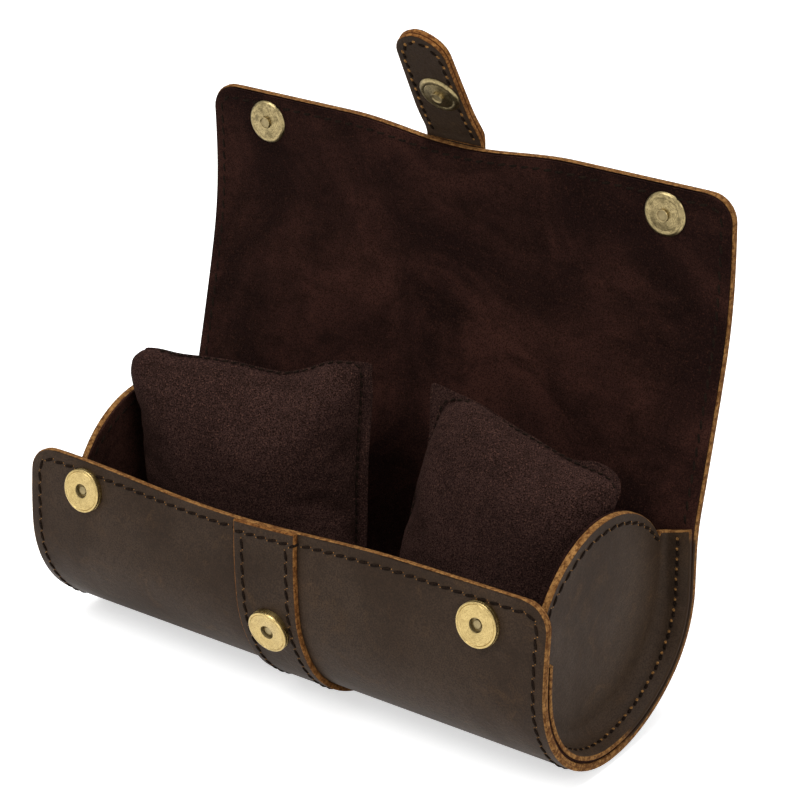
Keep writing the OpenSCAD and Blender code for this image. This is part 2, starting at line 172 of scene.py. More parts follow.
tabPath = tabRows()
beforeTab = sheetPath["along"] < tab["start"] - tab["bend"]
strapPath = {"along": np.concatenate([sheetPath["along"][beforeTab], tab["start"] + tabPath[:, 3]])}
for kind in ("round", "sag"):
    strapPath[kind] = np.concatenate([sheetPath["sag"][beforeTab], tabPath[:, :3]])
tabEnd = tab["start"] + tab["length"]


def plyShare(u, least=0.0):  # the tab's second leather starts thin and is full after a few millimetres
    return np.clip((u - tab["start"] + 3) / 4, least, 1)


def plyShift(u):  # the strap rises over it
    return tab["ply"] * plyShare(u)


# how the cut edges of the flap and the lid run
edges = {"corner": 9, "flapDip": 3.3, "flapDipWidth": 75, "flapDipMiddle": -22, "flapTilt": 1.0,
         "lidDip": 3.6, "lidDipWidth": 46, "easeOver": 26, "waxed": 74}


def flapEdge(x):  # how far the flap's edge dips, and tilts, along the case
    dip = edges["flapDip"] * hollow(np.abs(x - edges["flapDipMiddle"]) / edges["flapDipWidth"])
    return dip - edges["flapTilt"] * x / section["halfLength"]


def lidEdge(x):
    return edges["lidDip"] * hollow(np.abs(x) / edges["lidDipWidth"])


def toEdges(x, u, uTop, uEnd):  # moves the rows near the two free edges to the cut line
    nearFlap = np.clip(1 - (u - uTop) / edges["easeOver"], 0, 1)
    nearLid = np.clip(1 - (uEnd - u) / edges["easeOver"], 0, 1)
    return u + flapEdge(x) * nearFlap - lidEdge(x) * nearLid


def halfWidthAt(u, half, uTop, uEnd, corner):  # rounds the corners of a sheet
    inset = min(u - uTop, uEnd - u)
    if inset >= corner:
        return half
    return half - corner + math.sqrt(max(corner ** 2 - (corner - max(inset, 0)) ** 2, 0))


def toMesh(bm, name, materials, smoothAngle=40):  # from millimetres to metres, with its materials
    bmesh.ops.recalc_face_normals(bm, faces=bm.faces[:])
    bmesh.ops.scale(bm, vec=(mm, mm, mm), verts=bm.verts[:])
    mesh = bpy.data.meshes.new(name)
    bm.to_mesh(mesh)
    bm.free()
    for material in materials:
        mesh.materials.append(material)
    mesh.shade_smooth()
    mesh.set_sharp_from_angle(angle=math.radians(smoothAngle))
    piece = bpy.data.objects.new(name, mesh)
    bpy.context.scene.collection.objects.link(piece)
    return piece


def readVerts(bm):
    return np.array([v.co for v in bm.verts], float).reshape(-1, 3)


def writeVerts(bm, places):
    for v, place in zip(bm.verts, places):
        v.co = place


def keepFlat(bm):  # the flat place of each vertex, in metres, for the patterns
    layer = bm.verts.layers.float_vector.new("flat")
    for v in bm.verts:
        v[layer] = v.co * mm


def slab(columns, rowPlaces, spreadAt, low, high, bevel):  # a flat sheet: face, cut rim and inner side
    bm = bmesh.new()
    bmesh.ops.create_grid(bm, x_segments=columns, y_segments=len(rowPlaces) - 1, size=1)
    for v in bm.verts:
        u = rowPlaces[round((v.co.y + 1) / 2 * (len(rowPlaces) - 1))]
        v.co = (spreadAt(v.co.x, u), u, high)
    bmesh.ops.solidify(bm, geom=bm.faces[:], thickness=high - low)
    offset = high - max(v.co.z for v in bm.verts)
    bmesh.ops.translate(bm, vec=(0, 0, offset), verts=bm.verts[:])
    bmesh.ops.recalc_face_normals(bm, faces=bm.faces[:])
    for face in bm.faces:
        face.material_index = 1 if abs(face.normal.z) < 0.5 else (0 if face.normal.z > 0 else 2)
    rim = [e for e in bm.edges if len(e.link_faces) == 2
           and (e.link_faces[0].material_index == 1) != (e.link_faces[1].material_index == 1)]
    bmesh.ops.bevel(bm, geom=rim, offset=bevel, segments=2, profile=0.5, affect="EDGES", material=-1)
    for face in bm.faces:
        face.normal_update()
        if abs(face.normal.z) < 0.96:  # the rounded edge is worn to the raw colour
            face.material_index = 1
    return bm


def cutPart(whole, uFrom, uTo):  # one length of a flat sheet, with its cut ends closed
    part = whole.copy()
    for u, side in ((uFrom, -1), (uTo, 1)):
        if u is None:
            continue
        geom = part.verts[:] + part.edges[:] + part.faces[:]
        cut = bmesh.ops.bisect_plane(part, geom=geom, dist=1e-5, plane_co=(0, u, 0), plane_no=(0, side, 0),
                                     clear_outer=True)
        loop = [e for e in cut["geom_cut"] if isinstance(e, bmesh.types.BMEdge)]
        bmesh.ops.holes_fill(part, edges=loop, sides=0)
    return part


def curl(bm, path):  # bends a flat sheet along its path
    keepFlat(bm)
    flat = readVerts(bm)
    writeVerts(bm, onPath(path, flat[:, 0], flat[:, 1], flat[:, 2]))


def spacedRows(uTop, uEnd, corner, step):  # closer rows where the corners are round
    arc = [corner * (1 - math.cos(math.radians(a))) for a in np.linspace(0, 90, 9)]
    middle = list(np.linspace(uTop + corner, uEnd - corner, int((uEnd - uTop) / step)))[1:-1]
    return [uTop + a for a in arc] + middle + [uEnd - a for a in reversed(arc)]


def newGroup(name, inputs, outputs):  # a shared effect with its own sockets
    group = bpy.data.node_groups.new(name, "ShaderNodeTree")
    for label, kind, value in inputs:
        socket = group.interface.new_socket(label, in_out="INPUT", socket_type=kind)
        socket.default_value = value
    for label, kind in outputs:
        group.interface.new_socket(label, in_out="OUTPUT", socket_type=kind)
    return group, Wiring(group)


class Wiring:
    def __init__(self, tree):
        self.tree = tree

    def node(self, kind, **values):
        made = self.tree.nodes.new(kind)
        for key, value in values.items():
            if key.startswith("in_"):
                made.inputs[int(key[3:]) if key[3:].isdigit() else key[3:]].default_value = value
            else:
                setattr(made, key, value)
        return made

    def link(self, a, b):
        self.tree.links.new(a, b)

    def noise(self, vector, scale, detail=3, roughness=0.5, distortion=0.0):
        n = self.node("ShaderNodeTexNoise", in_Scale=scale, in_Detail=detail, in_Roughness=roughness,
                      in_Distortion=distortion)
        self.link(vector, n.inputs["Vector"])
        return n.outputs["Fac"]

    def ramp(self, fac, low, high, toLow=0.0, toHigh=1.0):
        n = self.node("ShaderNodeMapRange")
        n.interpolation_type = "SMOOTHSTEP"
        for slot, value in zip(("From Min", "From Max", "To Min", "To Max"), (low, high, toLow, toHigh)):
            if isinstance(value, bpy.types.NodeSocket):
                self.link(value, n.inputs[slot])
            else:
                n.inputs[slot].default_value = value
        self.link(fac, n.inputs["Value"])
        return n.outputs["Result"]

    def mix(self, fac, a, b):
        n = self.node("ShaderNodeMix", data_type="RGBA")
        for socket, value in ((n.inputs[0], fac), (n.inputs[6], a), (n.inputs[7], b)):
            if isinstance(value, bpy.types.NodeSocket):
                self.link(value, socket)
            elif isinstance(value, (int, float)):
                socket.default_value = value
            else:
                socket.default_value = (*value, 1)
        return n.outputs[2]

    def math(self, operation, a, b=None, clamp=False):
        n = self.node("ShaderNodeMath", operation=operation, use_clamp=clamp)
        for i, value in enumerate((a, b)):
            if isinstance(value, bpy.types.NodeSocket):
                self.link(value, n.inputs[i])
            elif value is not None:
                n.inputs[i].default_value = value
        return n.outputs[0]


def objectCoords(w):
    return w.node("ShaderNodeTexCoord").outputs["Object"]


def stretched(w, vector, scale):
    n = w.node("ShaderNodeMapping")
    n.inputs["Scale"].default_value = scale
    w.link(vector, n.inputs["Vector"])
    return n.outputs["Vector"]


def buildGrain():  # fine pores and soft creases of waxed leather
    group, w = newGroup(
        "leatherGrain", [("Vector", "NodeSocketVector", (0, 0, 0)), ("Pore Scale", "NodeSocketFloat", 900.0)],
        [("Height", "NodeSocketFloat"), ("Cloud", "NodeSocketFloat"), ("Rub", "NodeSocketFloat")])
    given, out = w.node("NodeGroupInput"), w.node("NodeGroupOutput")
    vector = given.outputs["Vector"]
    pores = w.node("ShaderNodeTexVoronoi", feature="SMOOTH_F1", in_Smoothness=0.6)
    w.link(vector, pores.inputs["Vector"])
    w.link(given.outputs["Pore Scale"], pores.inputs["Scale"])
    fine = w.noise(vector, 2200, 2)
    crease = w.noise(vector, 170, 5, 0.62, 0.8)
    pitted = w.math("MULTIPLY", pores.outputs["Distance"], 0.35)
    height = w.math("ADD", pitted, w.math("MULTIPLY", fine, 0.25))
    w.link(w.math("ADD", height, w.math("MULTIPLY", crease, 0.8)), out.inputs["Height"])
    w.link(w.ramp(w.noise(vector, 22, 4, 0.55, 0.4), 0.33, 0.68), out.inputs["Cloud"])
    w.link(w.ramp(w.noise(vector, 85, 5, 0.65, 1.2), 0.52, 0.78), out.inputs["Rub"])
    return group


def flatPlace(w):  # where a point lies on the flat pattern: across or along, along, and into the thickness
    flat = w.node("ShaderNodeAttribute", attribute_name="flat")
    split = w.node("ShaderNodeSeparateXYZ")
    w.link(flat.outputs["Vector"], split.inputs[0])
    return split.outputs


def buildCutLayers():  # a line part of the way into the thickness of a raw edge
    group, w = newGroup(
        "cutLayers", [("Middle", "NodeSocketFloat", -0.0013), ("Width", "NodeSocketFloat", 0.00016)],
        [("Line", "NodeSocketFloat")])
    given, out = w.node("NodeGroupInput"), w.node("NodeGroupOutput")
    off = w.math("ABSOLUTE", w.math("SUBTRACT", flatPlace(w)["Z"], given.outputs["Middle"]))
    n = w.node("ShaderNodeMath", operation="LESS_THAN")
    w.link(off, n.inputs[0])
    w.link(given.outputs["Width"], n.inputs[1])
    w.link(n.outputs[0], out.inputs["Line"])
    return group


grainGroup = buildGrain()
layerGroup = buildCutLayers()


def newMaterial(name, **constants):
    material = bpy.data.materials.new(name)
    material.use_nodes = True
    w = Wiring(material.node_tree)
    shader = material.node_tree.nodes["Principled BSDF"]
    for key, value in constants.items():
        shader.inputs[key.replace("_", " ")].default_value = value
    return material, w, shader


def bump(w, shader, height, strength, distance):
    n = w.node("ShaderNodeBump", in_Strength=strength, in_Distance=distance)
    w.link(height, n.inputs["Height"])
    w.link(n.outputs["Normal"], shader.inputs["Normal"])


def leatherMaterial(name, dark, middle, light, poreScale=900.0, depth=0.35):
    material, w, shader = newMaterial(name, Specular_IOR_Level=0.07)
    coords = objectCoords(w)
    grain = w.node("ShaderNodeGroup", node_tree=grainGroup)
    grain.inputs["Pore Scale"].default_value = poreScale
    w.link(coords, grain.inputs["Vector"])
    colour = w.mix(grain.outputs["Cloud"], dark, middle)
    colour = w.mix(w.math("MULTIPLY", grain.outputs["Rub"], 0.6), colour, light)
    deep = tuple(c * 0.35 for c in middle)
    colour = w.mix(w.ramp(w.noise(coords, 280, 4, 0.65, 0.6), 0.42, 0.70, 0.0, 0.35), colour, deep)
    colour = w.mix(w.ramp(w.noise(coords, 1900, 3, 0.7), 0.36, 0.64, 0.0, 0.75), colour, deep)
    w.link(colour, shader.inputs["Base Color"])
    rough = w.math("ADD", w.math("MULTIPLY", grain.outputs["Cloud"], -0.10), 0.60)
    w.link(rough, shader.inputs["Roughness"])
    bump(w, shader, grain.outputs["Height"], depth, 0.0004)
    return material


def waxedShare(w, axis, start, end, paleRim=None, upTo=None):  # 1 where a cut edge is waxed dark
    place = flatPlace(w)
    share = w.math("MULTIPLY", w.ramp(place[axis], (start - 5) * mm, (start + 5) * mm),
                   w.ramp(place[axis], (end - 4) * mm, end * mm, 1.0, 0.0))
    if upTo:  # only this far across
        share = w.math("MULTIPLY", share, w.ramp(place["Y"], (upTo - 1) * mm, upTo * mm, 1.0, 0.0))
    if paleRim:  # the outer rim is worn back to the raw colour
        share = w.math("MULTIPLY", share, w.ramp(place["Z"], (-paleRim - 0.3) * mm, -paleRim * mm, 1.0, 0.0))
    return share


# shade scales the colours, and the line shows where two layers meet
def rawEdgeMaterial(name, shade=(1, 1, 1), middle=-0.0013, width=0.00016, line=0.0, waxed=None):
    material, w, shader = newMaterial(name, Roughness=0.9, Specular_IOR_Level=0.08)
    paler, darker, spot, seam = ([c * s for c, s in zip(colour, shade)] for colour in (
        (0.33, 0.165, 0.052), (0.085, 0.031, 0.008), (0.105, 0.040, 0.011), (0.085, 0.030, 0.010)))
    coords = objectCoords(w)
    fibre = w.noise(coords, 750, 4, 0.7)
    colour = w.mix(w.ramp(fibre, 0.36, 0.64), darker, paler)
    colour = w.mix(w.ramp(w.noise(coords, 330, 4), 0.42, 0.70, 0, 0.6), colour, spot)
    layers = w.node("ShaderNodeGroup", node_tree=layerGroup)
    layers.inputs["Middle"].default_value, layers.inputs["Width"].default_value = middle, width
    colour = w.mix(w.math("MULTIPLY", layers.outputs["Line"], line), colour, seam)
    if waxed:
        colour = w.mix(waxedShare(w, **waxed), colour, (0.036, 0.0215, 0.0130))
    w.link(colour, shader.inputs["Base Color"])
    bump(w, shader, w.noise(coords, 1500, 3, 0.7), 0.8, 0.0005)
    return material


def suedeMaterial(name, dark, light, tint, scales, contrast):  # scales: patches, marks, specks, nap
    material, w, shader = newMaterial(name, Roughness=0.95, Specular_IOR_Level=0.03, Sheen_Weight=0.03,
                                      Sheen_Roughness=0.5, Sheen_Tint=(0.55, 0.32, 0.25, 1))
    coords = objectCoords(w)
    patches = w.ramp(w.noise(coords, scales[0], 5, 0.62, 1.1), 0.36, 0.66)
    marks = w.ramp(w.noise(stretched(w, coords, (0.6, 1, 1.3)), scales[1], 5, 0.7, 0.8), 0.46, 0.70)
    colour = w.mix(patches, dark, light)
    colour = w.mix(w.math("MULTIPLY", marks, 0.6), colour, tuple(c * 0.4 for c in dark))
    colour = w.mix(w.ramp(w.noise(coords, scales[2], 2, 0.6), 0.50, 0.72, 0, 0.6), colour, tint)
    nap = w.ramp(w.noise(coords, scales[3], 3, 0.75), 0.40, 0.60)
    colour = w.mix(w.math("MULTIPLY", nap, contrast), colour, tuple(c * 0.2 for c in dark))
    w.link(colour, shader.inputs["Base Color"])
    height = w.math("ADD", nap, w.math("MULTIPLY", w.noise(coords, 260, 4, 0.6), 0.8))
    bump(w, shader, height, 0.6, 0.0004)
    return material


def brassMaterial(name, bright, dull, roughness, ringScale, patina):
    material, w, shader = newMaterial(name, Metallic=1.0)
    rings = w.node("ShaderNodeAttribute", attribute_name="ring")
    brushed = w.noise(stretched(w, rings.outputs["Vector"], (ringScale, 5, 1)), 1, 4, 0.7)
    split = w.node("ShaderNodeSeparateXYZ")
    w.link(rings.outputs["Vector"], split.inputs[0])
    inside = w.ramp(split.outputs["X"], 0.0028, 0.0040)
    outside = w.ramp(split.outputs["X"], 0.0058, 0.0068, 1.0, 0.0)
    worn = w.math("MULTIPLY", w.math("MULTIPLY", inside, outside), patina)  # a duller band round the face
    tarnish = w.ramp(w.noise(objectCoords(w), 420, 4, 0.6), 0.40, 0.70)
    colour = w.mix(w.math("MULTIPLY", tarnish, w.math("ADD", worn, 0.35)), bright, dull)
    colour = w.mix(w.ramp(brushed, 0.42, 0.66, 0, 0.7), colour, dull)
    w.link(colour, shader.inputs["Base Color"])
    w.link(w.math("ADD", w.math("MULTIPLY", brushed, 0.2), roughness - 0.08), shader.inputs["Roughness"])
    bump(w, shader, brushed, 0.3, 0.0002)
    return material


leather = leatherMaterial("waxedLeather", (0.035, 0.0206, 0.0122), (0.056, 0.0352, 0.0222),
                          (0.096, 0.052, 0.024))
strapLeather = leatherMaterial("strapLeather", (0.032, 0.0190, 0.0112), (0.053, 0.0330, 0.0205),
                               (0.090, 0.050, 0.023), 700.0, 0.6)
waxedStart = foldStart - edges["waxed"]
rawEdge = rawEdgeMaterial("rawEdge", line=0.55,
                          waxed={"axis": "Y", "start": waxedStart, "end": foldAlong, "paleRim": 1.7})
strapEdge = rawEdgeMaterial("strapEdge", (0.82, 0.72, 0.62))
tabEdge = rawEdgeMaterial("tabEdge", (0.95, 0.85, 0.75), tab["ply"] * mm, 0.00025, 0.9)
suede = suedeMaterial("liningSuede", (0.0125, 0.0049, 0.0040), (0.054, 0.0205, 0.0146),
                      (0.064, 0.0250, 0.0152), (17, 75, 1700, 2100), 0.65)
microsuede = suedeMaterial("pillowMicrosuede", (0.041, 0.0202, 0.0164), (0.054, 0.0270, 0.0220),
                           (0.160, 0.074, 0.053), (40, 160, 1800, 2200), 0.95)
socketBrass = brassMaterial("socketBrass", (0.48, 0.36, 0.152), (0.27, 0.19, 0.072), 0.26, 3400, 0.1)
antiqueBrass = brassMaterial("antiqueBrass", (0.35, 0.275, 0.135), (0.07, 0.052, 0.023), 0.30, 2600, 0.35)


def plainMetal(name, roughness, scale, dark, light):
    material, w, shader = newMaterial(name, Metallic=1.0, Roughness=roughness)
    w.link(w.mix(w.noise(objectCoords(w), scale, 3), dark, light), shader.inputs["Base Color"])
    return material


pinBronze = plainMetal("pinBronze", 0.5, 600, (0.17, 0.135, 0.07), (0.38, 0.30, 0.155))
steel = plainMetal("washerSteel", 0.42, 500, (0.38, 0.38, 0.38), (0.56, 0.56, 0.55))


def threadMaterial(name, dark, light):
    material, w, shader = newMaterial(name, Roughness=0.85, Specular_IOR_Level=0.03)
    coords = objectCoords(w)
    w.link(w.mix(w.ramp(w.noise(coords, 2600, 2), 0.35, 0.65), dark, light), shader.inputs["Base Color"])
    bump(w, shader, w.noise(coords, 3000, 2), 0.5, 0.0002)
    return material


darkThread = threadMaterial("darkThread", (0.005, 0.0033, 0.0025), (0.018, 0.011, 0.007))
tanThread = threadMaterial("tanThread", (0.12, 0.052, 0.015), (0.33, 0.17, 0.055))
print("materials done")

# flap, wrap and lid are one sheet of leather, split where the case bends
bendTop, bendLow = (alongAtZ(z) for z in section["flapBend"])
strip = section["stripLength"]
hingeEnd = foldAlong + strip / 2
# each zone: name, where it is cut out, the bodies that it joins, and where it starts and ends to bend
zones = [("Flap", None, bendLow, "front_flap", "case", bendTop, bendLow),
         ("Wrap", bendLow, foldStart, "case", None, 0, 0),
         ("Fold", foldStart, foldAlong, "case", "lid_fold", foldStart, foldAlong),
         ("Hinge", foldAlong, hingeEnd, "lid_fold", "lid_strip_1", foldAlong, hingeEnd)]
for k in range(1, 7):
    zoneStart = foldAlong + strip * (k - 0.5)
    zoneEnd = zoneStart + strip
    zones.append((f"Lid{k}", zoneStart, None if k == 6 else zoneEnd, f"lid_strip_{k}", f"lid_strip_{k + 1}",
                  zoneStart, zoneEnd))


def joinBodies(piece, zone):  # rides one body; a piece between two bodies keeps its place
    name, uFrom, uTo, first, second, start, end = zone
    if second is None:
        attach(piece, first)
        return
    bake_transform(piece)


def nodesOf(first, strips):  # the nodes that the zones of one sheet stand for
    return dict(first, **{f"Lid{k}": f"{strips}_{k + 1}" for k in range(1, 7)}, Hinge=strips + "_1")


replaced = {
    "leather": nodesOf({"Flap": "front_flap", "Wrap": "wrap", "Fold": "lid_fold"}, "lid_leather"),
    "lining": nodesOf({"Flap": "front_flap_lining", "Wrap": "wrap_lining"}, "lid_lining"),
    "strap": nodesOf({"Flap": "front_flap_strap", "Wrap": "strap", "Fold": "lid_fold_strap"}, "lid_strap"),
}

sheets = {
    "leather": {"half": section["halfLength"], "inset": 0.0, "corner": edges["corner"], "columns": 60,
                "low": -section["leather"], "high": 0.0, "bevel": 0.5},
    "lining": {"half": 104.4, "inset": 0.6, "corner": 8.5, "columns": 60,
               "low": -section["wall"], "high": -2.65, "bevel": 0.3},
}
finishes = {"leather": ([leather, rawEdge, suede], "leather"), "lining": ([suede, suede, suede], "lining"),
            "strap": ([strapLeather, strapEdge, strapLeather], "strap_leather"),
            "tab": ([strapLeather, tabEdge, strapLeather], "strap_leather")}

for kind, cut in sheets.items():
    uTop, uEnd = cut["inset"], lidEnd - cut["inset"]
    rows = spacedRows(uTop, uEnd, cut["corner"], 2.0)
    blank = slab(cut["columns"], rows,
                 lambda t, u: t * halfWidthAt(u, cut["half"], uTop, uEnd, cut["corner"]),
                 cut["low"], cut["high"], cut["bevel"])
    for v in blank.verts:
        v.co.y = float(toEdges(v.co.x, v.co.y, uTop, uEnd))
    for zone in zones:
        part = cutPart(blank, zone[1], zone[2])
        curl(part, sheetPath)
        piece = toMesh(part, kind + zone[0], finishes[kind][0])
        joinBodies(piece, zone)
        if zone[0] in replaced[kind]:
            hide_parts(replaced[kind][zone[0]])
    blank.free()
    print(kind, "sheet done")

# the strap runs on as the outer leather of the tab
baseBend, tipBend = tab["start"], tab["start"] + tab["baseLength"]
baseCut, tipCut = baseBend - tab["bend"] - 1, baseBend + 6
tabZones = [("LidEnd", zones[-1][1], baseCut, "lid_strip_6", "lid_strip_7", zones[-1][5], zones[-1][6]),
            ("TabBase", baseCut, tipCut, "lid_strip_7", "tab_base",
             baseBend - tab["bend"], baseBend + tab["bend"]),
            ("TabTip", tipCut, None, "tab_base", "tab_tip", tipBend - tab["kink"], tipBend + tab["kink"])]
strapZones = zones[:-1] + tabZones
replaced["strap"]["LidEnd"] = replaced["strap"].pop("Lid6")
replaced["strap"]["TabBase"] = "tab_base_outer"
replaced["strap"]["TabTip"] = "tab_outer"


def strapSkew(u):  # the strap was sewn on a little askew, in mm across
    return float(np.interp(u, *zip(*tab["skew"])))


def strapHalf(u):  # half the strap's width, narrowed along the tab and rounded at its tip
    r = tab["halfWidth"] - float(np.interp(u, *zip(*tab["taper"])))
    inset = max(tabEnd - u, 0)
    if inset >= r:
        return r
    return max(math.sqrt(max(r ** 2 - (r - inset) ** 2, 0)), 1.2)


def tipRows():  # rows that follow the tab's round end
    r = tab["halfWidth"]
    return [tabEnd - r * (1 - math.cos(math.radians(a))) for a in np.linspace(90, 0, 13)][1:]


strapRows = list(np.linspace(0, tabEnd - tab["halfWidth"], 210)) + tipRows()
blank = slab(tab["columns"], strapRows, lambda t, u: strapSkew(u) + t * strapHalf(u),
             0.0, section["strapThickness"], 0.5)
for v in blank.verts:
    v.co.y += float(flapEdge(v.co.x)) * max(1 - v.co.y / edges["easeOver"], 0)
    v.co.z += float(plyShift(v.co.y))
for zone in strapZones:
    part = cutPart(blank, zone[1], zone[2])
    curl(part, strapPath)
    piece = toMesh(part, "strap" + zone[0], finishes["tab" if zone[0].startswith("Tab") else "strap"][0])
    joinBodies(piece, zone)
    if zone[0] in replaced["strap"]:
        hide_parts(replaced["strap"][zone[0]])
blank.free()

innerStart = lidEnd - edges["lidDip"] + 0.3
innerRows = list(np.linspace(innerStart, tabEnd - tab["halfWidth"], 30)) + tipRows()
blank = slab(tab["columns"], innerRows, lambda t, u: strapSkew(u) + t * (strapHalf(u) - 0.1),
             0.0, tab["ply"], 0.3)
for v in blank.verts:
    v.co.z *= float(plyShare(v.co.y, 0.05))
for zone in tabZones[1:]:
    part = cutPart(blank, None if zone[0] == "TabBase" else zone[1], zone[2])
    curl(part, strapPath)
    piece = toMesh(part, "inner" + zone[0], finishes["tab"][0])
    joinBodies(piece, zone)
    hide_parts("tab_base_inner" if zone[0] == "TabBase" else "tab_inner")
blank.free()
print("strap and tab done")

# each end cap is one leather disc, pressed in and turned out to a sewn flange
cap = {"recess": 9.6, "thick": 2.4, "lining": 0.9, "fillet": 5.0, "backFillet": 2.2, "tighten": (0.72, 0.28),
       "discRadius": 38.7, "cusp": (33.5, 19.35), "frontZ": 10.1, "backZ": 20.7, "plate": 40.0, "columns": 90,
       "wingRise": 3.0, "wingFrom": 0.92, "wingAcross": 8.5, "skived": 1.1, "skivedOver": 3.2}
capStart = alongAtZ(cap["frontZ"])
capEnd = float(foldStart - (section["foldZ"] - section["stripLength"] / 2) + cap["backZ"])
capLength = capEnd - capStart
capEdge = rawEdgeMaterial("capEdge", waxed={"axis": "X", "start": waxedStart - capStart, "end": capLength,
                                            "upTo": 20})
discFrom = 180 - math.degrees(math.asin(cap["frontZ"] / cap["discRadius"]))
discTo = math.degrees(math.atan2(cap["cusp"][1], cap["cusp"][0]))


def filletAt(t):  # the bend from flange to disc tightens towards the back
    start, over = cap["tighten"]
    ease = np.clip((t - start) / over, 0, 1)
    return cap["fillet"] + (cap["backFillet"] - cap["fillet"]) * ease * ease * (3 - 2 * ease)


def besideWall(s, inward):  # y and z inside the lining, near the end of the case
    place = onPath(sheetPath, np.full_like(inward + s, 100.0), capStart + s, -section["wall"] - inward)
    return place[..., 1], place[..., 2] - section["axisHeight"]


def onCap(s, across, depth):  # s along the wall, across from the flange's edge to the free edge, both flat
    plateX = section["halfLength"] - cap["recess"]
    t = s / capLength
    fillet = filletAt(t)
    flange = cap["recess"] - fillet
    bendLength = fillet * np.pi / 2
    angle = np.clip((across - flange) / bendLength, 0, 1) * np.pi / 2
    inward = cap["thick"] + fillet - (fillet + depth) * np.cos(angle)
    thinner = cap["skived"] * np.clip(1 - across / cap["skivedOver"], 0, 1)  # pared down to its edge
    inward = inward - thinner * np.clip(inward / cap["thick"], 0, 1)
    x = plateX + fillet - (fillet + depth) * np.sin(angle) + np.clip(flange - across, 0, None)
    y, z = besideWall(s, inward)
    turn = np.radians(discFrom + (discTo - discFrom) * t)
    edgeY, edgeZ = cap["discRadius"] * np.cos(turn), cap["discRadius"] * np.sin(turn)
    footY, footZ = besideWall(s, cap["thick"] + fillet)
    span = np.hypot(footY - edgeY, footZ - edgeZ)
    plateStart = flange + bendLength
    plateLength = cap["plate"] - plateStart
    q = np.clip(cap["plate"] - across, 0, plateLength)
    near = np.clip(span / 3, 0.05, 4.0)
    share = np.where(q < near, q / span, near / span + (1 - near / span) * (q - near) / (plateLength - near))
    share = np.where(across > plateStart, share, 1.0)
    onPlate = across > plateStart
    y = np.where(onPlate, edgeY + (footY - edgeY) * share, y)
    z = np.where(onPlate, edgeZ + (footZ - edgeZ) * share, z)
    nearTop = np.clip((t - cap["wingFrom"]) / (1 - cap["wingFrom"]), 0, 1)  # the flange ends in a raised wing
    rise = cap["wingRise"] * nearTop ** 1.5 * np.clip(1 - across / cap["wingAcross"], 0, 1)
    y, z = y - 0.4 * rise, z + rise
    return np.stack([x, y, z + section["axisHeight"]], -1)


cupRows = np.concatenate([[0, 1.5, 3, 4.2], np.linspace(5.2, 14, 10), np.linspace(16, 35, 8),
                          [37, 38.2, 39, 39.5, cap["plate"]]])
liningRows = np.concatenate([np.linspace(13.2, 35, 9), [37, 39, cap["plate"]]])
capBack = -cap["thick"]
liningBack = capBack - cap["lining"]
capLayers = (("cap", cupRows, capBack, 0.0, 0.4, [leather, capEdge, suede], "leather", "end_cap_"),
             ("capLining", liningRows, liningBack, capBack, 0.25, [suede] * 3, "lining", "end_lining_"))
for side, label in ((-1, "Left"), (1, "Right")):
    for kind, rows, low, high, bevel, mats, slotName, node in capLayers:
        bm = slab(cap["columns"], rows, lambda t, u: (t + 1) / 2 * capLength, low, high, bevel)
        keepFlat(bm)
        flat = readVerts(bm)
        places = onCap(flat[:, 0], flat[:, 1], -flat[:, 2])
        places[:, 0] *= side
        writeVerts(bm, places)
        piece = toMesh(bm, kind + label, mats)
        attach(piece, "case")
        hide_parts(node + label.lower())
print("end caps done")

sewing = {"pitch": 4.5, "length": 3.7, "width": 1.15, "height": 0.75, "slant": 11, "lift": 0.05,
          "inset": 4.0, "strapInset": 3.5, "strapFrom": 6.0, "capRim": 36.0, "capEnds": 2.0, "flange": 4.0,
          "flangePitch": 3.6, "pillowPitch": 3.2, "pressed": 0.6, "samples": 260}


def stitchTemplate(bead, length, slim=1.0, beadStretch=0.8, ends=(-1, 1)):  # one bent stitch
    bm = bmesh.new()
    bmesh.ops.create_uvsphere(bm, u_segments=8, v_segments=6, radius=0.5)
    bmesh.ops.rotate(bm, verts=bm.verts[:], matrix=Matrix.Rotation(math.pi / 2, 3, "Y"))
    for v in bm.verts:
        v.co.x = math.copysign(abs(v.co.x * 2) ** 0.6 / 2, v.co.x)
        arch = (1 - (v.co.x * 2) ** 2 - 0.55) * 0.25
        v.co = (v.co.x * length, v.co.y * sewing["width"] * slim, (v.co.z * sewing["height"] + arch) * slim)
    for end in ends:  # a bead of pale thread or leather shows at the hole
        ball = bmesh.ops.create_uvsphere(bm, u_segments=6, v_segments=4, radius=bead)["verts"]
        bmesh.ops.scale(bm, vec=(beadStretch, 1.1, 0.45), verts=ball)
        bmesh.ops.translate(bm, vec=(end * (length / 2 + bead * beadStretch * 0.8), 0, 0), verts=ball)
        for v in ball:
            for face in v.link_faces:
                face.material_index = 1
    mesh = bpy.data.meshes.new("stitchTemplate")
    bm.to_mesh(mesh)
    bm.free()
    return mesh


plainStitch = stitchTemplate(0.24, sewing["length"])
beadedStitch = stitchTemplate(0.55, sewing["length"] - 1.0, 1.0, 1.5, (1,))
closeStitch = stitchTemplate(0.5, 2.1, 1.1, 1.2, (1,))
sunkStitch = stitchTemplate(0, 3.3, 0.8, ends=())
pillowStitch = stitchTemplate(0, 2.3, 0.62, ends=())


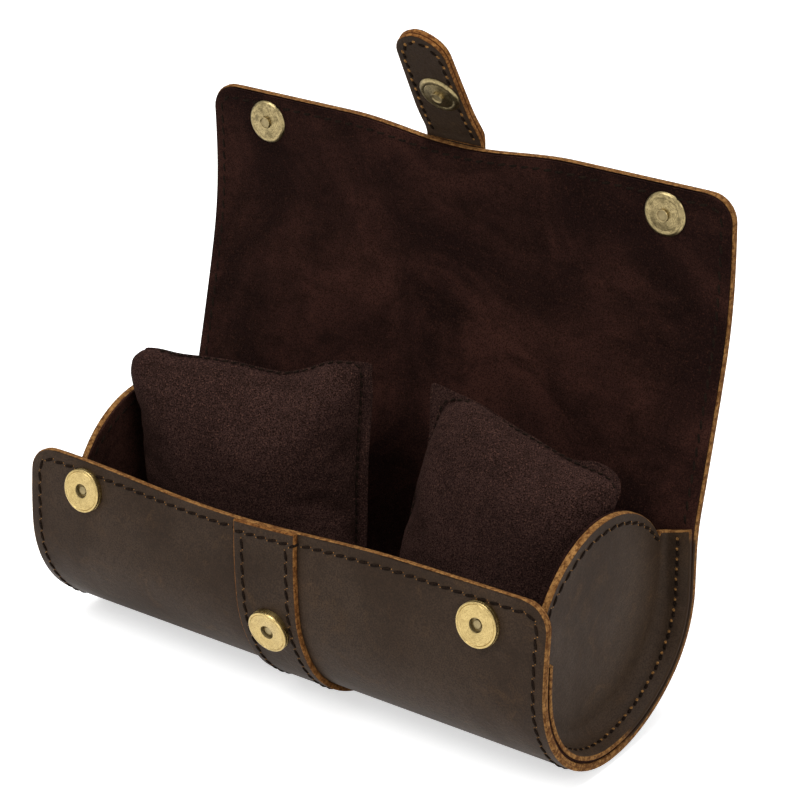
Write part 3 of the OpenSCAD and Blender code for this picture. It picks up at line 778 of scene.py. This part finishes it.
def sewRow(points, normals, pitch=None, start=0.5):  # places along a dense line, one matrix for each stitch
    pitch = pitch or sewing["pitch"]
    gaps = np.linalg.norm(np.diff(points, axis=0), axis=1)
    run = np.concatenate([[0], np.cumsum(gaps)])
    count = max(int(run[-1] / pitch), 1)
    pitch = run[-1] / count
    made = []
    for i in range(count):
        at = (i + start) * pitch
        place, ahead, behind, up = (
            np.array([np.interp(a, run, src[:, c]) for c in range(3)])
            for a, src in ((at, points), (at + 0.6, points), (at - 0.6, points), (at, normals)))
        axis = Vector(ahead - behind).normalized()
        out = Vector(up).normalized()
        sideways = out.cross(axis).normalized()
        out = axis.cross(sideways)
        slant = Matrix.Rotation(math.radians(sewing["slant"] + random.uniform(-3, 3)), 4, "Z")
        turn = Matrix((axis, sideways, out)).transposed().to_4x4()
        made.append(Matrix.Translation(Vector(place)) @ turn @ slant)
    return made


def sewPiece(name, matrices, thread, holes=None, stitch=None):  # a row of stitches as one piece
    bm = bmesh.new()
    for matrix in matrices:
        before = len(bm.verts)
        bm.from_mesh(stitch or plainStitch)
        bm.verts.ensure_lookup_table()
        bmesh.ops.transform(bm, matrix=matrix, verts=bm.verts[before:])
    return toMesh(bm, name, [thread, holes or tanThread], 80)


def rimLine(inset, onLid):  # up one side of the flap or lid, round its corners and down the other side
    half, corner = section["halfLength"], edges["corner"]
    radius = corner - inset
    turns = np.radians(np.linspace(0, 90, 12))
    side = np.linspace(lidEnd - foldStart - 10 if onLid else foldStart + 9, corner, sewing["samples"])
    top = np.linspace(-(half - corner), half - corner, 200)[1:-1]
    sideX = np.full(len(side), half - inset)
    xs = np.concatenate([-sideX, -(half - corner) - radius * np.cos(turns), top,
                         (half - corner) + radius * np.cos(turns[::-1]), sideX])
    fromEdge = np.concatenate([side, corner - radius * np.sin(turns), np.full(len(top), inset),
                               corner - radius * np.sin(turns[::-1]), side[::-1]])
    near = np.clip(1 - fromEdge / edges["easeOver"], 0, 1)
    if onLid:
        return xs, lidEnd - fromEdge - lidEdge(xs) * near
    return xs, fromEdge + flapEdge(xs) * near


def sewSheet(label, xs, us, levels, zoneList, path=sheetPath):  # sews along a flat line
    for side, d, stitch in levels:
        base = onPath(path, xs, us, np.zeros(len(xs)))
        out = onPath(path, xs, us, np.ones(len(xs))) - base
        depth = d(xs, us) if callable(d) else np.full(len(xs), d)
        points = base + out * depth[:, None]
        matrices = sewRow(points, out * side)
        centres = np.array([m.translation for m in matrices])
        nearest = [int(np.argmin(((points - c) ** 2).sum(1))) for c in centres]
        for zone in zoneList:
            low = -1e9 if zone[1] is None else zone[1]
            high = 1e9 if zone[2] is None else zone[2]
            chosen = [m for m, n in zip(matrices, nearest) if low <= us[n] < high]
            if not chosen:
                continue
            name = label + zone[0] + ("Out" if side > 0 else "In")
            piece = sewPiece(name, chosen, darkThread, stitch=stitch)
            joinBodies(piece, zone)


def outerLevel(xs, us):  # on the leather, or on the strap where that crosses the seam
    onStrap = [abs(x - strapSkew(u)) < tab["halfWidth"] and (u < foldStart or u > lidEnd - 9)
               for x, u in zip(xs, us)]
    return np.where(onStrap, section["strapThickness"] + sewing["lift"] + plyShift(us), sewing["lift"])


def strapLevel(xs, us):  # pressed flat where the strap stands on the floor
    level = section["strapThickness"] + sewing["lift"] + plyShift(us)
    nearFloor = onPath(strapPath, xs, us, level)[..., 2] < 0.5
    return np.where(nearFloor, level - sewing["pressed"], level)


for label, onLid in (("edgeStitch", False), ("lidStitch", True)):
    xs, us = rimLine(sewing["inset"], onLid)
    sewSheet(label, xs, us, ((1, outerLevel, plainStitch), (-1, -section["wall"] - 0.02, sunkStitch)), zones)

# the strap's seam runs up one side, round the tab's tip and down the other
seamX = tab["halfWidth"] - sewing["strapInset"]
tipTurns = np.radians(np.linspace(0, 180, 40))
tipCentre = tabEnd - tab["halfWidth"]
strapU = np.linspace(sewing["strapFrom"], tipCentre, 620)
seamSide = np.full(len(strapU), seamX)
strapXs = np.concatenate([-seamSide, -seamX * np.cos(tipTurns), seamSide])
strapUs = np.concatenate([strapU, tipCentre + seamX * np.sin(tipTurns), strapU[::-1]])
strapUs = strapUs + flapEdge(strapXs) * np.clip(1 - strapUs / edges["easeOver"], 0, 1)
strapXs = strapXs * np.array([strapHalf(min(u, tipCentre)) / tab["halfWidth"] for u in strapUs])
strapXs = strapXs + np.array([strapSkew(u) for u in strapUs])
sewSheet("strapStitch", strapXs, strapUs, ((1, strapLevel, plainStitch),), strapZones, strapPath)
inTab = strapUs > lidEnd - edges["lidDip"] + 2
sewSheet("tabStitch", strapXs[inTab], strapUs[inTab], ((-1, -sewing["lift"], beadedStitch),), tabZones,
         strapPath)

capSeams = (("capStitch", sewing["capRim"], 0.0, 1.0, plainStitch, sewing["pitch"]),
            ("capStitchInner", sewing["capRim"], -liningBack, -1.0, sunkStitch, sewing["pitch"]),
            ("flangeStitch", sewing["flange"], 0.0, None, closeStitch, sewing["flangePitch"]))
for side, label in ((-1, "Left"), (1, "Right")):
    s = np.linspace(sewing["capEnds"], capLength - sewing["capEnds"], 240)
    for name, across, depth, outX, stitch, pitch in capSeams:
        line = onCap(s, np.full_like(s, across), np.full_like(s, depth))
        if outX is None:  # square to the flange
            out = onCap(s, np.full_like(s, across), np.full_like(s, depth - 1.0)) - line
        else:
            out = np.tile([outX, 0, 0], (len(s), 1))
        line = line + out * sewing["lift"]
        line[:, 0] *= side
        out[:, 0] *= side
        piece = sewPiece(name + label, sewRow(line, out, pitch), darkThread, stitch=stitch)
        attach(piece, "case")
print("stitches done")

# magnetic snaps, turned from their profiles: radius, height, and 1 for the pin and its well
socketProfile = [(7.45, -0.6, 0), (7.55, -0.5, 0), (7.55, 0.95, 0), (7.38, 1.02, 0), (7.38, 1.1, 0),
                 (7.55, 1.18, 0), (7.55, 1.85, 0), (7.46, 2.06, 0), (7.2, 2.2, 0), (6.85, 2.2, 0),
                 (6.72, 2.06, 0), (6.59, 2.2, 0), (2.75, 2.2, 0), (2.5, 2.12, 1), (2.42, 1.9, 1),
                 (2.4, 0.5, 1), (1.5, 0.5, 1), (1.5, 1.1, 1), (1.36, 1.3, 1), (1.1, 1.36, 1), (0.0, 1.36, 1)]
studProfile = [(7.45, -0.4, 0), (7.55, -0.3, 0), (7.55, 0.25, 0), (7.42, 0.45, 0), (6.85, 0.92, 0),
               (6.6, 1.0, 0), (5.6, 0.99, 0), (5.45, 0.94, 0), (5.3, 0.98, 0), (2.5, 1.0, 0),
               (2.2, 1.05, 0), (2.15, 2.05, 0), (2.05, 2.2, 0), (1.85, 2.2, 0), (1.72, 2.08, 1),
               (1.6, 1.78, 1), (0.0, 1.7, 1)]
snapPlaces = {"sideX": 80.5, "socketZ": 18.4, "studAlong": 102, "centreTurn": -78}


def spinProfile(profile, steps=72):  # keeps radius and turn for the brushed rings
    bm = bmesh.new()
    pinReach = [r for r, z, onPin in profile if onPin][0] + 0.1
    made = [bm.verts.new((r, 0, z)) for r, z, _ in profile]
    lines = [bm.edges.new(pair) for pair in zip(made, made[1:])]
    bmesh.ops.spin(bm, geom=made + lines, cent=(0, 0, 0), axis=(0, 0, 1), angle=math.tau, steps=steps,
                   use_merge=True)
    bmesh.ops.remove_doubles(bm, verts=bm.verts[:], dist=1e-4)
    layer = bm.verts.layers.float_vector.new("ring")
    for v in bm.verts:
        v[layer] = (math.hypot(v.co.x, v.co.y) * mm, math.atan2(v.co.y, v.co.x), v.co.z * mm)
    for face in bm.faces:
        centre = face.calc_center_median()
        if math.hypot(centre.x, centre.y) < pinReach:
            face.material_index = 1
    bottom = [e for e in bm.edges if e.is_boundary]
    bmesh.ops.holes_fill(bm, edges=bottom, sides=0)
    return bm


def facing(place, out, across=(1, 0, 0)):  # stands a snap on its place, with its face along out
    out = Vector(out).normalized()
    first = Vector(across)
    second = out.cross(first).normalized()
    return Matrix.Translation(Vector(place)) @ Matrix((first, second, out)).transposed().to_4x4()


def placeOn(path, x, u, d, side):  # a snap's place on the leather
    base = onPath(path, np.array(float(x)), np.array(float(u)), np.array(float(d)))
    out = onPath(path, np.array(float(x)), np.array(float(u)), np.array(d + 1.0)) - base
    return facing(base, out * side)


snapX = snapPlaces["sideX"]
socketU, studU = alongAtZ(snapPlaces["socketZ"]), foldAlong + snapPlaces["studAlong"]
centreTurn = math.radians(snapPlaces["centreTurn"])
centreRadius = section["toeRadius"] + section["strapThickness"]
centrePlace = (0, section["toeY"] + centreRadius * math.sin(centreTurn),
               wallZ - centreRadius * math.cos(centreTurn) + section["axisHeight"])
# each snap: name, profile, places, materials, body, slot and node
snaps = [
    ("sideSockets", socketProfile, [placeOn(sheetPath, side * snapX, socketU, 0, 1) for side in (-1, 1)],
     [socketBrass, pinBronze], "front_flap", "socket_brass", "side_sockets"),
    ("centreSocket", socketProfile, [facing(centrePlace, (0, math.sin(centreTurn), -math.cos(centreTurn)))],
     [socketBrass, pinBronze], "case", "socket_brass", "centre_socket"),
    ("lidStudLeft", studProfile, [placeOn(sheetPath, -snapX, studU, -section["wall"], -1)],
     [antiqueBrass, pinBronze], "lid_strip_7", "antique_brass", "lid_stud_left"),
    ("lidStudRight", studProfile, [placeOn(sheetPath, snapX, studU, -section["wall"], -1)],
     [antiqueBrass, pinBronze], "lid_strip_7", "antique_brass", "lid_stud_right"),
    ("tabStud", studProfile, [placeOn(strapPath, 0, tab["start"] + tab["studAlong"], 0, -1)],
     [antiqueBrass, pinBronze], "tab_tip", "antique_brass", "tab_stud"),
]
for name, profile, places, mats, body, slotName, node in snaps:
    bm = bmesh.new()
    for place in places:
        one = spinProfile(profile)
        bmesh.ops.transform(one, matrix=place, verts=one.verts[:])
        single = bpy.data.meshes.new(name)
        one.to_mesh(single)
        one.free()
        bm.from_mesh(single)
    piece = toMesh(bm, name, mats, 30)
    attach(piece, body)
    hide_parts(node)
for node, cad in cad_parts.items():  # the hidden parts of the snaps stay as the frame gives them
    if "washer" in node or "magnet" in node:
        cad.data.materials.clear()
        cad.data.materials.append(steel)
print("snaps done")

# pillows: two panels sewn round their rim and filled, which swell as cloth while the seam keeps its outline
pillow = {"thick": 25, "rim": 1.6, "cells": 30, "roundness": 2.6, "height": 90, "flangeThick": 1.2,
          "crease": 0.55, "pressure": 8, "mass": 0.1, "stretch": 15, "bending": 0.3, "ease": -0.03,
          "frames": 18, "most": 8, "closedShare": 0.7, "closedTilt": 0.12, "closedAnchor": 0.088,
          "floorZ": 0.0065}
# sides as x and height; flange as degrees round the outline and width; corners as from, to and their place
pillows = {
    "left": {"place": (-46, -3, -36), "turn": 18, "lean": -6,
             "bottom": [(-36, 2), (-30, 0.3), (0, 0), (30, 0.3), (36, 2)],
             "left": [(-36, 2), (-37.5, 10), (-38.3, 25), (-38.7, 39), (-39.9, 46), (-41, 56), (-42.2, 68),
                      (-44.6, 76), (-46, 82), (-45.2, 87)],
             "right": [(36, 2), (37, 10), (37.3, 30), (36.8, 50), (36.9, 68), (37.4, 83), (37.6, 91),
                       (37, 95)],
             "top": [(-45.2, 87), (-41.5, 90.4), (-35.3, 90.8), (-29.8, 89.7), (-18.7, 89.9), (-6, 89.4),
                     (2, 88.4), (10, 87.6), (16, 89.4), (20.5, 90.8), (23.5, 93), (28, 94.3), (37, 95)],
             "flange": [(-52, 3), (-44, 4.2), (50, 4.4), (60, 1.4), (66, 1.1), (128, 1.1), (133, 0.7)],
             "corners": [(50, 61, (42.4, 51.4))], "sewnFrom": 1.0},
    "right": {"place": (50, -3.5, -35.5), "turn": -6, "lean": -14,
              "bottom": [(-36, 2), (-29, 0.3), (0, 0), (29, 0.3), (36, 2)],
              "left": [(-36, 2), (-38, 12), (-39.3, 25), (-39.8, 34), (-39.6, 46), (-38.2, 60), (-36.5, 73),
                       (-35, 83), (-34.5, 89.8)],
              "right": [(36, 2), (37.5, 12), (38, 30), (38, 50), (38, 62), (38.3, 68), (39.3, 74), (40.3, 78),
                        (39.6, 81.5)],
              "top": [(-34.5, 89.8), (-29, 91.6), (-21.8, 92.8), (-10, 90.6), (1, 88.6), (12.4, 86.2),
                      (22, 84.9), (29.4, 84.6), (34.5, 84.6), (38, 83.5), (39.6, 81.5)],
              "flange": [(39.5, 0.3), (42, 2.2), (45.5, 3.8), (54, 3.8), (60, 1.6), (66, 0.9), (110, 0.9),
                         (114, 1.2), (137, 3), (145, 1.6), (215, 1.4)],
              "corners": [(113, 138, (-41.5, 50.6))], "sewnFrom": 1.5},
}


def pillowMatrix(spec):  # from the pillow's own middle to its place in the case
    x, y, z = spec["place"]
    stands = Matrix.Translation((x, y, z + section["axisHeight"]))
    turned = Matrix.Rotation(math.radians(spec["turn"]), 4, "Z")
    leant = Matrix.Rotation(math.radians(spec["lean"]), 4, "X")
    return stands @ turned @ leant @ Matrix.Translation((0, 0, pillow["height"] / 2))


def alongLine(points, t):  # a place part of the way along a side of the outline
    points = np.array(points, float)
    run = np.concatenate([[0], np.cumsum(np.linalg.norm(np.diff(points, axis=0), axis=1))])
    return np.array([np.interp(t * run[-1], run, points[:, c]) for c in (0, 1)])


def pillowBlank(spec):  # two flat panels on the outline, a little puffed, joined by a seam
    bm = bmesh.new()
    bmesh.ops.create_cube(bm, size=2)
    bmesh.ops.subdivide_edges(bm, edges=bm.edges[:], cuts=pillow["cells"], use_grid_fill=True)
    bmesh.ops.delete(bm, geom=[v for v in bm.verts if abs(v.co.y) < 0.95], context="VERTS")
    bmesh.ops.bridge_loops(bm, edges=[e for e in bm.edges if e.is_boundary])
    across = [e for e in bm.edges if abs(e.verts[0].co.y - e.verts[1].co.y) > 1]
    bmesh.ops.subdivide_edges(bm, edges=across, cuts=1, use_grid_fill=True)
    half, rise = pillow["rim"] / 2, (pillow["thick"] - pillow["rim"]) / 2
    corner = {(i, j): np.array(spec["top" if j else "bottom"][-i], float) for i in (0, 1) for j in (0, 1)}
    for v in bm.verts:
        x, y, z = v.co
        a, b = (x + 1) / 2, (z + 1) / 2
        place = (alongLine(spec["bottom"], a) * (1 - b) + alongLine(spec["top"], a) * b
                 + alongLine(spec["left"], b) * (1 - a) + alongLine(spec["right"], b) * a
                 - corner[0, 0] * (1 - a) * (1 - b) - corner[1, 0] * a * (1 - b) - corner[0, 1] * (1 - a) * b
                 - corner[1, 1] * a * b)
        puff = max((1 - abs(x) ** pillow["roundness"]) * (1 - abs(z) ** pillow["roundness"]), 0) ** 0.5
        v.co = (place[0], y * (half + rise * puff), place[1] - pillow["height"] / 2)
    return bm


def blowUp(piece, seam):  # the panels swell as cloth between their seams
    group = piece.vertex_groups.new(name="seam")
    group.add(seam, 1.0, "REPLACE")
    start = np.array([v.co for v in piece.data.vertices])
    cloth = piece.modifiers.new("cloth", "CLOTH")
    values = cloth.settings
    values.use_pressure, values.uniform_pressure_force = True, pillow["pressure"]
    values.mass, values.quality, values.air_damping = pillow["mass"], 5, 2
    values.tension_stiffness = values.compression_stiffness = pillow["stretch"]
    values.shear_stiffness, values.bending_stiffness = pillow["stretch"] / 3, pillow["bending"]
    values.shrink_min, values.vertex_group_mass = pillow["ease"], "seam"
    values.effector_weights.gravity = 0
    cloth.point_cache.frame_start, cloth.point_cache.frame_end = 1, pillow["frames"]
    for step in range(1, pillow["frames"] + 1):
        bpy.context.scene.frame_set(step)
    shape = piece.evaluated_get(bpy.context.evaluated_depsgraph_get())
    moved = np.array([v.co for v in shape.data.vertices]) - start
    length = np.linalg.norm(moved, axis=1, keepdims=True)
    moved *= np.minimum(1, pillow["most"] * mm / np.maximum(length, 1e-9))
    piece.modifiers.clear()
    piece.vertex_groups.clear()
    for v, place in zip(piece.data.vertices, start + moved):
        v.co = place
    bpy.context.scene.frame_set(1)


def sewFlange(label, spec, ring):  # the flat seam allowance that stands out beyond the stitching
    angles = np.degrees(np.arctan2(ring[:, 2], ring[:, 0]))
    stops, widths = zip(*spec["flange"])
    angles = np.where(angles < stops[0], angles + 360, angles)
    order = [i for i in np.argsort(angles) if angles[i] <= stops[-1]]
    chosen, reach = ring[order], np.interp(angles[order], stops, widths)
    for _ in range(2):
        chosen[1:-1] = (chosen[:-2] + chosen[1:-1] * 2 + chosen[2:]) / 4
    ahead = np.gradient(chosen, axis=0)
    out = np.stack([ahead[:, 2], np.zeros(len(ahead)), -ahead[:, 0]], 1)
    out /= np.linalg.norm(out, axis=1, keepdims=True)
    outer = chosen + out * reach[:, None]
    for fromAngle, toAngle, (x, z) in spec["corners"]:  # the seam allowance keeps its square corner here
        held = [i for i, place in enumerate(order) if fromAngle <= angles[place] <= toAngle]
        first, last, tip = outer[held[0]].copy(), outer[held[-1]].copy(), np.array([x, 0.0, z])
        share = np.linalg.norm(tip - first) / (np.linalg.norm(tip - first) + np.linalg.norm(last - tip))
        steps = np.linspace(0, 1, len(held))
        nearest = int(np.argmin(np.abs(steps - share)))
        for n, i in enumerate(held):
            outer[i] = first + (tip - first) * n / nearest if n <= nearest else (
                tip + (last - tip) * (n - nearest) / (len(held) - 1 - nearest))
    rows = [-1.2, 0, 0.35, 0.7, 1]
    bm = bmesh.new()
    bmesh.ops.create_grid(bm, x_segments=len(chosen) - 1, y_segments=len(rows) - 1, size=1)
    for v in bm.verts:
        i = round((v.co.x + 1) / 2 * (len(chosen) - 1))
        t = rows[round((v.co.y + 1) / 2 * (len(rows) - 1))]
        wave = 0.3 * math.sin(i * 0.55) * max(t, 0)
        step = (outer[i] - chosen[i]) * t if t > 0 else out[i] * t
        v.co = Vector(chosen[i] + step) + Vector((0, wave, 0))
    bmesh.ops.solidify(bm, geom=bm.faces[:], thickness=pillow["flangeThick"])
    middle = (min(v.co.y for v in bm.verts) + max(v.co.y for v in bm.verts)) / 2
    bmesh.ops.translate(bm, vec=(0, -middle, 0), verts=bm.verts[:])
    bmesh.ops.transform(bm, matrix=pillowMatrix(spec), verts=bm.verts[:])
    band = toMesh(bm, "pillowSeam" + label.capitalize(), [microsuede], 180)
    softened(band)
    line = (chosen + out * 0.5)[reach >= spec["sewnFrom"]]
    line[:, 1] -= pillow["flangeThick"] / 2 + 0.1
    place = np.array([pillowMatrix(spec) @ Vector(p) for p in line])
    towards = pillowMatrix(spec).to_3x3() @ Vector((0, -1, 0))
    row = sewRow(place, np.tile(towards, (len(place), 1)), sewing["pillowPitch"])
    threads = sewPiece("pillowThread" + label.capitalize(), row, darkThread, darkThread, pillowStitch)
    return band, threads


def softened(piece):  # one applied subdivision
    finer = piece.modifiers.new("soft", "SUBSURF")
    finer.levels = finer.render_levels = 1
    with bpy.context.temp_override(object=piece, active_object=piece, selected_objects=[piece]):
        bpy.ops.object.modifier_apply(modifier="soft")


def addCreases(piece, seed):  # shallow folds that run in from the seam
    for v in piece.data.vertices:
        x, y, z = v.co / mm
        upright = noise.noise(Vector((x / 16 + seed, z / 30, 0)))
        level = noise.noise(Vector((x / 34, z / 11, seed)))
        v.co.y += math.copysign(pillow["crease"] * mm, y) * (upright + 0.6 * level) * min(abs(y) / 5, 1)


for seed, (label, spec) in enumerate(pillows.items()):
    bm = pillowBlank(spec)
    bm.verts.index_update()
    seam = [v.index for v in bm.verts if abs(v.co.y) < 0.2]
    ring = readVerts(bm)[seam]
    piece = toMesh(bm, "pillow" + label.capitalize(), [microsuede], 180)
    blowUp(piece, seam)
    addCreases(piece, seed)
    piece.data.transform(Matrix.Scale(mm, 4) @ pillowMatrix(spec) @ Matrix.Scale(1 / mm, 4))
    softened(piece)
    for part in (piece, *sewFlange(label, spec, ring)):  # each part rides the pillow's body, with a mesh of its own
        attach(part, "pillow_" + label)
        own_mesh(part)
    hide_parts("pillow_cover_" + label, "pillow_filling_" + label)
print("pillows done")


def seenDirectly(w):  # camera rays and what metal shows
    rays = w.node("ShaderNodeLightPath")
    seen = w.math("MAXIMUM", rays.outputs["Is Camera Ray"], rays.outputs["Is Glossy Ray"])
    return w.math("MAXIMUM", seen, rays.outputs["Is Transmission Ray"])


# white paper floor, world, lamps and camera
bm = bmesh.new()
bmesh.ops.create_grid(bm, x_segments=2, y_segments=2, size=6)
floorMesh = bpy.data.meshes.new("floor")
bm.to_mesh(floorMesh)
bm.free()
floor = bpy.data.objects.new("floor", floorMesh)
bpy.context.scene.collection.objects.link(floor)
paper, w, shader = newMaterial("paper", Roughness=0.9, Specular_IOR_Level=0.1)
shader.inputs["Base Color"].default_value = (0.9, 0.9, 0.9, 1)
shader.inputs["Emission Strength"].default_value = 1.0
paperGlow = w.mix(seenDirectly(w), (0, 0, 0), (0.6, 0.6, 0.6))  # keeps the shadow pale
w.link(paperGlow, shader.inputs["Emission Color"])
floorMesh.materials.append(paper)

world = bpy.data.worlds.new("studio")
bpy.context.scene.world = world
world.use_nodes = True
w = Wiring(world.node_tree)
sky = world.node_tree.nodes["Background"]
sky.inputs["Color"].default_value = (1, 1, 1, 1)
w.link(w.ramp(seenDirectly(w), 0, 1, 0.42, 1.0), sky.inputs["Strength"])

# each lamp: place, size and power
lamps = {"key": ((-0.45, -1.0, 1.35), 0.8, 11.5), "side": ((1.3, -0.5, 0.8), 0.8, 6),
         "top": ((0.1, 0.1, 1.7), 0.9, 17)}
for name, (place, size, power) in lamps.items():
    light = bpy.data.lights.new(name, "AREA")
    light.size, light.energy = size, power
    lamp = bpy.data.objects.new(name, light)
    lamp.location = place
    lamp.rotation_euler = (Vector((0, 0, 0.06)) - Vector(place)).to_track_quat("-Z", "Y").to_euler()
    bpy.context.scene.collection.objects.link(lamp)

camera = bpy.data.objects.new("camera", bpy.data.cameras.new("camera"))
bpy.context.scene.collection.objects.link(camera)
view = {"azimuth": 36.16, "elevation": 23.58, "place": (0.5056, -0.6703, 0.4638), "sensor": 36,
        "focal": 2795.6, "width": 800}  # focal and width both in pixels
azimuth, elevation = math.radians(view["azimuth"]), math.radians(view["elevation"])
backward = Vector((math.sin(azimuth) * math.cos(elevation), -math.cos(azimuth) * math.cos(elevation),
                   math.sin(elevation)))
camera.location = view["place"]
camera.rotation_euler = (-backward).to_track_quat("-Z", "Y").to_euler()
camera.data.sensor_width = view["sensor"]
camera.data.lens = view["focal"] / view["width"] * view["sensor"]
bpy.context.scene.camera = camera
bpy.context.scene.view_settings.view_transform = "Standard"
